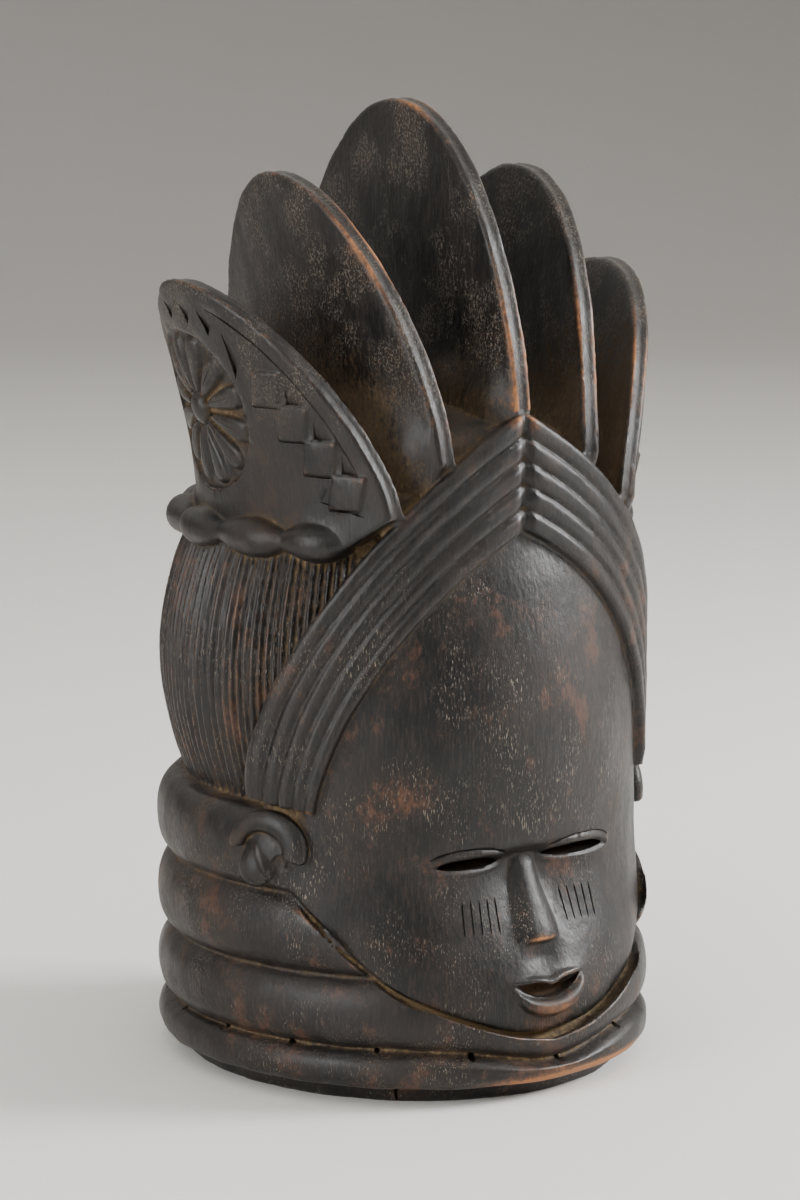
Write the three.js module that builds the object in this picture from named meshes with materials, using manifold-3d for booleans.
// A carved wooden helmet mask of the kind worn by masked dancers: one hollow block with stacked
// neck rings, a small face under a high forehead, a ridged headband, combed hair, a beaded roll
// and a crest of five tall blades. Millimetres, +Z up, the face looks towards -Y, and the origin
// is on the ground at the middle of the mask's width and depth.

import * as THREE from "three";
import { mergeVertices } from "three/addons/utils/BufferGeometryUtils.js";
import Module from "manifold-3d";

// Driving dimensions, in millimetres and degrees. A list of pairs gives stations: the first number
// is a height or a share, the second what is found there

const LIP = { halfWidth: 98, topHalfWidth: 100, frontDepth: 108, backDepth: 103, height: 8 };
const RING = {
  halfWidth: 111, frontDepth: 122, backDepth: 117, seams: [8, 25, 57, 92, 128],
  across: [-0.93, -0.5, 0.5, 0.93], groove: 8.5, lowestGroove: 5.1, roundness: 2.4, around: 32,
};
const NECK_TOP = { halfWidth: 85, height: 131 };
const CHIN_DIP = { drop: 8, spread: 34, from: 12, to: 82 };
const NECK_TUCK = { share: 0.055, spread: 60 };

const HAIR = {
  halfWidth: 107.5, backDepth: 115.5, frontDepth: 89, squareness: 2.45,
  heights: [122, 146, 184, 222, 248], bulgeHeight: 184, taper: 0.088, taperSpan: 50,
};
const STRAND = { count: 76, startAngle: 40, depth: 2.6, hiddenSteps: 4 };
const CROWN = {
  halfWidth: 92, frontDepth: 88, backDepth: 101, squareness: 3, around: 24, wall: [200, 240],
  roof: 297, roofCrown: 9, backFall: 30, slope: 0.0042, edgeSlope: 0.006, roofRings: [1, 0.8, 0.4],
};

const FACE_HALF_WIDTH = [[20, 104], [50, 110.5], [131, 110], [183, 105.5], [225, 96], [262, 78]];
const FACE_DEPTH = [
  [20, 108], [33, 111], [48, 109], [66, 105.5], [90, 103],
  [125, 103.5], [160, 105], [200, 101.5], [225, 97], [262, 88],
];
const FACE = {
  heights: [20, 34, 50, 66, 80, 92, 104, 118, 136, 165, 200, 232, 262],
  turn: 67, steps: 7, backTurn: 150, backDepth: 30, top: 262, side: 112, sideFoot: 100,
};
const EYE_HOLLOW = { depth: 8, halfWidth: 27, height: 99, halfHeight: 17 };
const JAW = [[97, 86], [88, 74], [76, 58.5], [59, 47], [40, 38.5], [20, 30], [0, 27]];
const JAW_GAP = { width: 4, depth: 5, earLine: -40 };
const CUT_REACH = 150;

const NOSE = {
  rootHeight: 108, tipHeight: 64, rootWidth: 10, tipWidth: 23, rootDepth: 95, tipDepth: 109.5,
  tipShare: 0.92, underCut: 3, levels: [0, 0.35, 0.7, 0.92, 1],
  section: [[-1, 0], [-0.72, 0.62], [-0.25, 1], [0.25, 1], [0.72, 0.62], [1, 0], [0.6, -1.4], [-0.6, -1.4]],
};
const EYE = {
  centre: 31, height: 104, halfWidth: 19, halfHeight: 6, thickness: 7.5, sunk: 3, angle: 17,
  tilt: 4, turn: 14, slitWidth: 27, slitHeight: 3.6, slitDrop: 0.5, slitFrom: -120,
};
const SCAR = { count: 5, pitch: 4.4, width: 1.5, length: 15, depth: 1.3, centre: 27, height: 80.5 };
const MOUTH = { halfWidth: 20, height: 53, lipDepth: 3.4, gape: 4.2, cutDepth: 8, partingRise: 1 };
const LIPS = { halfWidth: 22, halfHeight: 11, thickness: 12, drop: 5 };

// The headband's edges in front view, each a curve from the mitre down to the ear
const BAND_OUTER = [[0, 303], [52, 274], [119, 212], [104, 141]];
const BAND_INNER = [[0, 249], [34, 232], [82, 194], [89, 129]];
const BAND = {
  ridges: 5, ridgeSteps: 3, ridgeHeight: 2.6, stand: 2.4, depth: 16, rootShare: 0.06, mitre: 2.2,
  stations: 10, riseReach: 40,
};
const BAND_WALL = { halfWidth: 108.5, frontDepth: 91, squareness: 2.45 };

const ROLL = {
  beads: 12, height: 247, halfWidth: 95.5, frontDepth: 87, backDepth: 104, squareness: 2.45, startAngle: 45,
};
const BEAD = { thick: 8.5, thin: 4.5, fullness: 0.8, levels: [-0.04, 0.3, 0.7, 1.04], around: 6 };

const EAR = {
  angle: 68, height: 108, halfWidth: 16, halfHeight: 17, thickness: 13, sunk: 4,
  rim: 5.5, hollowDepth: 8, hollowOut: 7, hollowDrop: 2,
};

// The blades from the middle outwards: where the rim starts on the headband, and how far it leans
const BLADES = [
  { root: 0, base: 303, rise: 133, frontDepth: 93, backDepth: 90, bow: 0, lean: 0 },
  { root: 39, base: 281, rise: 124, frontDepth: 91, backDepth: 76, bow: 12, lean: 19 },
  { root: 63, base: 259, rise: 99, frontDepth: 87, backDepth: 64, bow: 26, lean: 29.5 },
];
const BLADE = {
  foot: 246, halfThick: 4.8, rimGroove: 0.9, flare: 8, flareStart: 4, flareHeight: 15, leanCurve: 1.4,
  levels: [0.08, 0.26, 0.52, 0.75, 0.92, 0.995], along: [-1, -0.9, -0.45, 0.45, 0.9, 1],
};
const ARCH = { shoulder: 1.9, point: 0.714 };

const ROSETTE = { radius: 34, petals: 12, centreY: 4, centreZ: 301, rise: 2.6, cleft: 2, cleftReach: 0.88 };
const ROSETTE_RINGS = [[0.18, 1.5], [0.28, 0.6], [1, 0.9], [1, -1.5]];
const CHECK = {
  width: 10, height: 14, stepY: 10.2, stepZ: 14.2, startY: -32.4, startZ: 327.3,
  rise: 1.3, root: 3, count: 4,
};

// The room for the wearer's head: a plan, and its share at each height
const HOLLOW = { halfWidth: 84, frontDepth: 84, backDepth: 90, around: 16 };
const HOLLOW_SHARE = [
  [-2, 1], [24, 1.04], [70, 1.05], [120, 1], [180, 0.95], [225, 0.82], [250, 0.6], [268, 0.2],
];

const WOOD = { colour: 0x2b221d, roughness: 0.42, metalness: 0 };

// Small geometry helpers

const wasm = await Module();
wasm.setup();

const radians = THREE.MathUtils.degToRad;
const lerp = THREE.MathUtils.lerp;
const clamp = THREE.MathUtils.clamp;
const bump = (value, centre, spread) => Math.exp(-(((value - centre) / spread) ** 2));
const smooth = THREE.MathUtils.smoothstep;
const power = (value, exponent) => Math.sign(value) * Math.abs(value) ** exponent;

// Reads a smooth curve through a few [position, value] stations
function reading(stations) {
  const points = stations.map(([position, value]) => new THREE.Vector2(position, value));
  return (position) => {
    const last = points.length - 2;
    let index = 0;
    while (index < last && position > points[index + 1].x) index += 1;
    const before = points[Math.max(index - 1, 0)];
    const start = points[index];
    const end = points[index + 1];
    const after = points[Math.min(index + 2, points.length - 1)];
    const span = end.x - start.x;
    const t = clamp((position - start.x) / span, 0, 1);
    const startSlope = ((end.y - before.y) / (end.x - before.x)) * span;
    const endSlope = ((after.y - start.y) / (after.x - start.x)) * span;
    const t2 = t * t;
    const t3 = t2 * t;
    return start.y * (2 * t3 - 3 * t2 + 1) + startSlope * (t3 - 2 * t2 + t)
      + end.y * (3 * t2 - 2 * t3) + endSlope * (t3 - t2);
  };
}

// Turns a closed triangle mesh into a solid, with its faces turned outwards
function toSolid(geometry) {
  const bare = geometry.clone();
  bare.deleteAttribute("normal");
  bare.deleteAttribute("uv");
  const merged = mergeVertices(bare, 1e-4);
  const positions = merged.attributes.position.array;
  const corners = merged.index.array;
  const kept = [];
  let volume = 0;
  for (let i = 0; i < corners.length; i += 3) {
    const [a, b, c] = [corners[i], corners[i + 1], corners[i + 2]];
    if (a === b || b === c || c === a) continue;
    kept.push(a, b, c);
    const [pa, pb, pc] = [a, b, c].map((corner) => new THREE.Vector3().fromArray(positions, corner * 3));
    volume += pa.dot(pb.cross(pc));
  }
  if (volume < 0) {
    for (let i = 0; i < kept.length; i += 3) [kept[i], kept[i + 1]] = [kept[i + 1], kept[i]];
  }
  return new wasm.Manifold(new wasm.Mesh({
    numProp: 3,
    vertProperties: new Float32Array(positions),
    triVerts: new Uint32Array(kept),
  }));
}

// A closed skin over rings of points, each ring running once round, with both ends closed
function skin(rings, around, place) {
  const positions = [];
  const triangles = [];
  for (let ring = 0; ring < rings; ring += 1) {
    for (let step = 0; step < around; step += 1) positions.push(...place(ring, step).toArray());
  }
  const corner = (ring, step) => ring * around + (step % around);
  for (let ring = 0; ring < rings - 1; ring += 1) {
    for (let step = 0; step < around; step += 1) {
      const [a, b] = [corner(ring, step), corner(ring, step + 1)];
      const [c, d] = [corner(ring + 1, step), corner(ring + 1, step + 1)];
      triangles.push(a, b, d, a, d, c);
    }
  }
  for (const end of [0, rings - 1]) {
    const middle = new THREE.Vector3();
    for (let step = 0; step < around; step += 1) {
      middle.add(new THREE.Vector3().fromArray(positions, corner(end, step) * 3));
    }
    middle.divideScalar(around);
    const hub = positions.length / 3;
    positions.push(...middle.toArray());
    for (let step = 0; step < around; step += 1) {
      const [a, b] = [corner(end, step), corner(end, step + 1)];
      if (end === 0) triangles.push(b, a, hub);
      else triangles.push(a, b, hub);
    }
  }
  const geometry = new THREE.BufferGeometry();
  geometry.setAttribute("position", new THREE.Float32BufferAttribute(positions, 3));
  geometry.setIndex(triangles);
  return toSolid(geometry);
}

const join = (solids) => solids.reduce((whole, next) => whole.add(next));
const mirrored = (makeSide) => makeSide(-1).add(makeSide(1));

// A point on an egg-shaped plan: angle 0 is the front, +90 the side towards +X. The front may be
// squarer than the back, which is a plain half ellipse
function onPlan(angle, { halfWidth, frontDepth, backDepth, squareness = 2 }, scale, inset, height) {
  const front = Math.cos(angle) > 0;
  const roundness = front ? 2 / squareness : 1;
  const depth = (front ? frontDepth : backDepth) * scale - inset;
  return new THREE.Vector3(
    (halfWidth * scale - inset) * power(Math.sin(angle), roundness),
    -depth * power(Math.cos(angle), roundness),
    height,
  );
}

// Front-view outlines that are cut through the block from front to back
function frontPrism(outline, back) {
  const shape = new THREE.Shape(outline.map(([x, z]) => new THREE.Vector2(x, z)));
  const geometry = new THREE.ExtrudeGeometry(shape, { depth: CUT_REACH, bevelEnabled: false });
  geometry.rotateX(Math.PI / 2);
  geometry.translate(0, back, 0);
  return toSolid(geometry);
}

const mirrorOutline = (side) => [...side, ...side.filter(([x]) => x > 0).reverse().map(([x, z]) => [-x, z])];

// How far the lower seams dip under the chin
function chinDip(x, y, z) {
  if (y >= 0) return 0;
  const band = smooth(z, CHIN_DIP.from, RING.seams[1]) * (1 - smooth(z, RING.seams[2], CHIN_DIP.to));
  return CHIN_DIP.drop * bump(x, 0, CHIN_DIP.spread) * band;
}

// The neck: a plain lip on the ground and four thick rolls that dip under the chin
function neckRings() {
  const profile = [
    new THREE.Vector2(0, 0),
    new THREE.Vector2(LIP.halfWidth, 0),
    new THREE.Vector2(LIP.topHalfWidth, LIP.height),
  ];
  for (let ring = 0; ring < RING.seams.length - 1; ring += 1) {
    const [low, high] = [RING.seams[ring], RING.seams[ring + 1]];
    for (const share of RING.across) {
      const groove = ring === 0 && share < 0 ? RING.lowestGroove : RING.groove;
      const radius = RING.halfWidth - groove * Math.abs(share) ** RING.roundness;
      profile.push(new THREE.Vector2(radius, lerp(low, high, (share + 1) / 2)));
    }
  }
  profile.push(new THREE.Vector2(NECK_TOP.halfWidth, NECK_TOP.height), new THREE.Vector2(0, NECK_TOP.height));
  const geometry = new THREE.LatheGeometry(profile, RING.around);
  geometry.rotateX(Math.PI / 2);
  const position = geometry.attributes.position;
  for (let i = 0; i < position.count; i += 1) {
    const [x, y, z] = [position.getX(i), position.getY(i), position.getZ(i)];
    const [lip, ring] = y < 0 ? [LIP.frontDepth, RING.frontDepth] : [LIP.backDepth, RING.backDepth];
    const stretch = lerp(lip / LIP.halfWidth, ring / RING.halfWidth, clamp(z / RING.seams[1], 0, 1));
    const forward = y < 0 ? bump(x, 0, NECK_TUCK.spread) : 0;
    const tuck = forward * NECK_TUCK.share * smooth(z, RING.seams[1], RING.seams[2]);
    position.setXYZ(i, x, y * stretch * (1 - tuck), z - chinDip(x, y, z));
  }
  return toSolid(geometry);
}

// The combed hair: a bulging drum, fluted from top to bottom behind the headband
function hair() {
  const start = radians(STRAND.startAngle);
  const edges = STRAND.count * 2;
  const pitch = (2 * Math.PI - 2 * start) / edges;
  return skin(HAIR.heights.length, edges + STRAND.hiddenSteps, (ring, step) => {
    const height = HAIR.heights[ring];
    const scale = 1 - HAIR.taper * ((height - HAIR.bulgeHeight) / HAIR.taperSpan) ** 2;
    if (step > edges) {
      const underBand = ((step - edges) / STRAND.hiddenSteps) * 2 - 1;
      return onPlan(underBand * start, HAIR, scale, 0, height);
    }
    return onPlan(start + step * pitch, HAIR, scale, step % 2 === 0 ? STRAND.depth : 0, height);
  });
}

const roofHeight = (x, y, inward) => CROWN.roof + CROWN.roofCrown * (1 - inward ** 2)
  - CROWN.backFall * (Math.max(y, 0) / CROWN.backDepth) ** 2
  - x * x * (CROWN.slope + CROWN.edgeSlope * (Math.min(y, 0) / CROWN.frontDepth) ** 2);

// The top of the head, which the blades stand on
function crown() {
  const wall = CROWN.wall.map((height) => [1, height]);
  const rings = [...wall, ...CROWN.roofRings.map((inward) => [inward, null])];
  return skin(rings.length, CROWN.around, (ring, step) => {
    const [inward, fixed] = rings[ring];
    const point = onPlan((step / CROWN.around) * 2 * Math.PI, CROWN, inward, 0, 0);
    point.z = fixed ?? roofHeight(point.x, point.y, inward);
    return point;
  });
}

const faceHalfWidth = reading(FACE_HALF_WIDTH);
const faceDepth = reading(FACE_DEPTH);

function faceFront(angle, height, inset) {
  const plan = { halfWidth: faceHalfWidth(height), frontDepth: faceDepth(height), backDepth: FACE.backDepth };
  const point = onPlan(angle, plan, 1, inset, height);
  if (Math.cos(angle) > 0) {
    point.y += EYE_HOLLOW.depth * bump(point.x, 0, EYE_HOLLOW.halfWidth)
      * bump(height, EYE_HOLLOW.height, EYE_HOLLOW.halfHeight);
  }
  return point;
}

// The front of the head as a smooth column, before its outline is cut
function faceColumn(inset) {
  const angles = [];
  for (let step = -FACE.steps; step <= FACE.steps; step += 1) angles.push((step / FACE.steps) * FACE.turn);
  angles.push(FACE.backTurn, 360 - FACE.backTurn);
  return skin(FACE.heights.length, angles.length, (ring, step) => {
    return faceFront(radians(angles[step]), FACE.heights[ring], inset);
  });
}

// The face's front-view outline: the jaw below and the headband's inner edge above
function faceOutline(grow) {
  const jaw = new THREE.SplineCurve(JAW.map(([x, z]) => new THREE.Vector2(x, z))).getPoints(10);
  const side = jaw.map((point) => [Math.max(point.x, 0) + (point.x > 1 ? grow / 2 : 0), point.y - grow]);
  side[side.length - 1][0] = 0;
  return mirrorOutline([[0, FACE.top], [FACE.side, FACE.top], [FACE.side, FACE.sideFoot], ...side]);
}

function nose() {
  return skin(NOSE.levels.length, NOSE.section.length, (ring, step) => {
    const t = NOSE.levels[ring];
    const height = lerp(NOSE.rootHeight, NOSE.tipHeight, t);
    const halfWidth = lerp(NOSE.rootWidth, NOSE.tipWidth, t ** 1.5) / 2;
    const cheek = -faceFront(0, height, 0).y;
    const bridge = lerp(NOSE.rootDepth, NOSE.tipDepth, Math.min(t / NOSE.tipShare, 1));
    const ridge = Math.max(bridge - (t === 1 ? NOSE.underCut : 0), cheek + 0.5);
    const [across, out] = NOSE.section[step];
    return new THREE.Vector3(across * halfWidth, -(cheek - 1 + out * (ridge - cheek + 1)), height);
  });
}

// One heavy lid, an almond swelling over the slit
function eyelid(side) {
  const geometry = new THREE.SphereGeometry(1, 10, 6);
  geometry.rotateX(Math.PI / 2);
  geometry.scale(EYE.halfWidth, EYE.thickness, EYE.halfHeight);
  geometry.rotateY(radians(side * EYE.tilt));
  geometry.rotateZ(radians(side * EYE.turn));
  geometry.translate(side * EYE.centre, faceFront(radians(EYE.angle), EYE.height, EYE.sunk).y, EYE.height);
  return toSolid(geometry);
}

function eyeSlit(side) {
  const shape = new THREE.Shape();
  shape.moveTo(-EYE.slitWidth / 2, 0);
  shape.quadraticCurveTo(0, EYE.slitHeight, EYE.slitWidth / 2, 0);
  shape.quadraticCurveTo(0, -EYE.slitHeight, -EYE.slitWidth / 2, 0);
  const options = { depth: -EYE.slitFrom / 2, bevelEnabled: false, curveSegments: 3 };
  const geometry = new THREE.ExtrudeGeometry(shape, options);
  geometry.rotateX(Math.PI / 2);
  geometry.rotateY(radians(side * EYE.tilt));
  geometry.translate(side * EYE.centre, EYE.slitFrom / 2, EYE.height - EYE.slitDrop);
  return toSolid(geometry);
}

// Five upright scars on each cheek, cut across the surface they lie on
function scars(side) {
  const strokes = [];
  for (let stroke = 0; stroke < SCAR.count; stroke += 1) {
    const across = SCAR.centre + (stroke - (SCAR.count - 1) / 2) * SCAR.pitch;
    const turn = Math.asin(across / faceHalfWidth(SCAR.height));
    const upper = faceFront(turn, SCAR.height + SCAR.length / 2, 0);
    const lower = faceFront(turn, SCAR.height - SCAR.length / 2, 0);
    const geometry = new THREE.BoxGeometry(SCAR.width, SCAR.depth * 2, SCAR.length);
    geometry.rotateX(-Math.atan2(upper.y - lower.y, SCAR.length));
    geometry.translate(side * across, (upper.y + lower.y) / 2, SCAR.height);
    strokes.push(toSolid(geometry));
  }
  return join(strokes);
}

// Parted lips: a swelling for both, and a crescent cut between them
function lips() {
  const geometry = new THREE.SphereGeometry(1, 14, 8);
  geometry.rotateX(Math.PI / 2);
  geometry.scale(LIPS.halfWidth, LIPS.thickness, LIPS.halfHeight);
  const front = faceDepth(MOUTH.height) + MOUTH.lipDepth;
  geometry.translate(0, LIPS.thickness - front, MOUTH.height - LIPS.drop);
  return toSolid(geometry);
}

function mouthCut() {
  const shape = new THREE.Shape();
  shape.moveTo(-MOUTH.halfWidth, 0);
  shape.quadraticCurveTo(-MOUTH.halfWidth / 2, 0, 0, -MOUTH.gape * 0.8);
  shape.quadraticCurveTo(MOUTH.halfWidth / 2, 0, MOUTH.halfWidth, 0);
  shape.quadraticCurveTo(0, -MOUTH.gape * 4, -MOUTH.halfWidth, 0);
  const options = { depth: MOUTH.cutDepth + MOUTH.gape, bevelEnabled: false, curveSegments: 4 };
  const geometry = new THREE.ExtrudeGeometry(shape, options);
  geometry.rotateX(Math.PI / 2);
  geometry.translate(0, MOUTH.cutDepth - faceDepth(MOUTH.height), MOUTH.height + MOUTH.partingRise);
  return toSolid(geometry);
}

function bezier(corners) {
  return new THREE.CubicBezierCurve(...corners.map((corner) => new THREE.Vector2(...corner)));
}
const bandOuter = bezier(BAND_OUTER);
const bandInner = bezier(BAND_INNER);

// The front of the block under the headband, as a depth for each front-view place
function bandDepth(x) {
  const across = Math.min(Math.abs(x) / BAND_WALL.halfWidth, 0.995);
  return BAND_WALL.frontDepth * (1 - across ** BAND_WALL.squareness) ** (1 / BAND_WALL.squareness);
}

// Half of the headband: five rounded ridges swept from the mitre down to the ear
function headband(side) {
  const steps = BAND.ridges * BAND.ridgeSteps;
  return skin(BAND.stations, steps + 3, (station, step) => {
    const along = station / (BAND.stations - 1);
    const onFace = step <= steps;
    const share = onFace ? step / steps : step === steps + 1 ? 1 - BAND.rootShare : BAND.rootShare;
    const place = bandOuter.getPoint(along).lerp(bandInner.getPoint(along), share);
    const ridge = step % BAND.ridgeSteps === 0 ? 0 : BAND.ridgeHeight;
    const rise = onFace ? BAND.stand + ridge - (station === 0 ? BAND.mitre : 0) : -BAND.depth;
    const depth = bandDepth(place.x);
    const outwards = 1 + rise / Math.hypot(depth, place.x, BAND.riseReach);
    return new THREE.Vector3(side * place.x * outwards, -depth * outwards, place.y);
  });
}

// One spindle-shaped bead of the roll; the roll runs from band to band round the back
function bead(index) {
  const pitch = (360 - 2 * ROLL.startAngle) / ROLL.beads;
  const start = ROLL.startAngle + index * pitch;
  return skin(BEAD.levels.length, BEAD.around, (ring, step) => {
    const t = BEAD.levels[ring];
    const centre = onPlan(radians(start + t * pitch), ROLL, 1, 0, ROLL.height);
    const swell = Math.sin(Math.PI * clamp(t, 0, 1)) ** BEAD.fullness;
    const radius = lerp(BEAD.thin, BEAD.thick, swell);
    const turn = (step / BEAD.around) * 2 * Math.PI;
    const outward = new THREE.Vector3(centre.x, centre.y, 0).normalize();
    centre.addScaledVector(outward, radius * Math.cos(turn));
    return centre.setZ(ROLL.height + radius * Math.sin(turn));
  });
}

// An ear: a curled rim round a shallow hollow
function ear(side) {
  const centre = faceFront(radians(side * EAR.angle), EAR.height, 0);
  const outward = new THREE.Vector3(centre.x, centre.y, 0).normalize();
  const place = (geometry, out) => {
    geometry.rotateZ(Math.atan2(outward.y, outward.x));
    geometry.translate(centre.x + outward.x * out, centre.y + outward.y * out, centre.z);
    return toSolid(geometry);
  };
  const body = new THREE.SphereGeometry(1, 10, 6);
  body.rotateX(Math.PI / 2);
  body.scale(EAR.thickness, EAR.halfWidth, EAR.halfHeight);
  const hollow = new THREE.SphereGeometry(1, 7, 4);
  hollow.rotateX(Math.PI / 2);
  hollow.scale(EAR.hollowDepth, EAR.halfWidth - EAR.rim, EAR.halfHeight - EAR.rim);
  hollow.translate(0, 0, -EAR.hollowDrop);
  return place(body, -EAR.sunk).subtract(place(hollow, EAR.hollowOut));
}

// The sideways place of a blade's middle surface, which bows and leans out as it rises
function bladeAcross(shape, y, z) {
  const up = clamp((z - shape.base) / shape.rise, 0, 1);
  const along = clamp(Math.abs(y) / (y < 0 ? shape.frontDepth : shape.backDepth), 0, 1);
  return shape.root + shape.bow * (1 - along * along) + shape.lean * up ** BLADE.leanCurve;
}

// How far forward or back the rim stands at a share of the blade's height
function rimReach(shape, up, s) {
  const depth = s < 0 ? shape.frontDepth : shape.backDepth;
  return depth * (1 - clamp(up, 0, 1) ** ARCH.shoulder) ** ARCH.point;
}

function rootFlare(shape, z) {
  return BLADE.flare * bump(Math.max(z - shape.base - BLADE.flareStart, 0), 0, BLADE.flareHeight);
}

// A crest blade: a tall arch seen from the side, thick at its root, with a grooved rim. The
// outermost blades' outer faces run straight down to the roll
function blade(shape, side) {
  const ups = [(BLADE.foot - shape.base) / shape.rise, ...BLADE.levels];
  const section = [
    ...BLADE.along.map((s) => [s, 1]),
    [1, 0],
    ...BLADE.along.toReversed().map((s) => [s, -1]),
    [-1, 0],
  ];
  const outermost = shape === BLADES.at(-1);
  return skin(ups.length, section.length, (ring, step) => {
    const height = shape.base + ups[ring] * shape.rise;
    const [s, face] = section[step];
    const y = s * (rimReach(shape, ups[ring], s) - (face === 0 ? BLADE.rimGroove : 0));
    const flared = Math.abs(s) < 1 && !(outermost && face > 0);
    const thick = BLADE.halfThick + (flared ? rootFlare(shape, height) : 0);
    return new THREE.Vector3(side * (bladeAcross(shape, y, height) + face * thick), y, height);
  });
}

// A place on the outer face of an outermost blade
function onOuterFace(side, y, z, out) {
  return new THREE.Vector3(side * (bladeAcross(BLADES.at(-1), y, z) + BLADE.halfThick + out), y, z);
}

// The rosette: petals round a boss, on the outer face of each outermost blade
function rosette(side) {
  const around = ROSETTE.petals * 2;
  return skin(ROSETTE_RINGS.length, around, (ring, step) => {
    const [reach, share] = ROSETTE_RINGS[ring];
    const cleft = step % 2 === 1 && ring > 0;
    const radius = ROSETTE.radius * reach * (cleft && reach === 1 ? ROSETTE.cleftReach : 1);
    const angle = (step / around) * 2 * Math.PI;
    const rise = share * ROSETTE.rise - (cleft && share > 0 ? ROSETTE.cleft : 0);
    const [y, z] = [ROSETTE.centreY + radius * Math.cos(angle), ROSETTE.centreZ + radius * Math.sin(angle)];
    return onOuterFace(side, y, z, rise);
  });
}

// A chain of raised panels that steps down the front of each outermost blade
function checks(side) {
  const panels = [];
  for (let index = 0; index < CHECK.count; index += 1) {
    const y = CHECK.startY - index * CHECK.stepY;
    const z = CHECK.startZ - index * CHECK.stepZ;
    panels.push(skin(2, 4, (ring, step) => {
      const across = (step === 1 || step === 2 ? 0.5 : -0.5) * CHECK.width;
      const up = (step > 1 ? 0.5 : -0.5) * CHECK.height;
      return onOuterFace(side, y + across, z + up, ring === 0 ? -CHECK.root : CHECK.rise);
    }));
  }
  return join(panels);
}

// The room for the wearer's head, open below
function hollow() {
  return skin(HOLLOW_SHARE.length, HOLLOW.around, (ring, step) => {
    const [height, scale] = HOLLOW_SHARE[ring];
    return onPlan((step / HOLLOW.around) * 2 * Math.PI, HOLLOW, scale, 0, height);
  });
}

function helmetMask() {
  const aroundTheJaw = frontPrism(faceOutline(JAW_GAP.width), JAW_GAP.earLine);
  const neck = neckRings().subtract(aroundTheJaw.subtract(faceColumn(JAW_GAP.depth)));
  const face = faceColumn(0).intersect(frontPrism(faceOutline(0), 0));
  const features = join([nose(), lips(), mirrored(eyelid)]);
  const beads = [];
  for (let index = 0; index < ROLL.beads; index += 1) beads.push(bead(index));
  const crest = [blade(BLADES[0], 1)];
  for (const shape of BLADES.slice(1)) crest.push(mirrored((side) => blade(shape, side)));
  const outside = join([
    neck, hair(), crown(), face, features, mirrored(headband), ...beads, mirrored(ear), ...crest,
    mirrored(rosette), mirrored(checks),
  ]);
  return outside
    .subtract(hollow())
    .subtract(mirrored(eyeSlit))
    .subtract(mouthCut())
    .subtract(mirrored(scars));
}

function toMesh(name, solid) {
  const { vertProperties, triVerts } = solid.getMesh();
  const geometry = new THREE.BufferGeometry();
  geometry.setAttribute("position", new THREE.BufferAttribute(vertProperties, 3));
  geometry.setIndex(new THREE.BufferAttribute(triVerts, 1));
  geometry.computeVertexNormals();
  const material = new THREE.MeshStandardMaterial({
    color: WOOD.colour, roughness: WOOD.roughness, metalness: WOOD.metalness, flatShading: true,
  });
  const mesh = new THREE.Mesh(geometry, material);
  mesh.name = name;
  geometry.computeBoundingBox();
  mesh.position.y = -(geometry.boundingBox.min.y + geometry.boundingBox.max.y) / 2;
  return mesh;
}

const mask = new THREE.Group();
mask.add(toMesh("helmet_mask", helmetMask()));

export default mask;
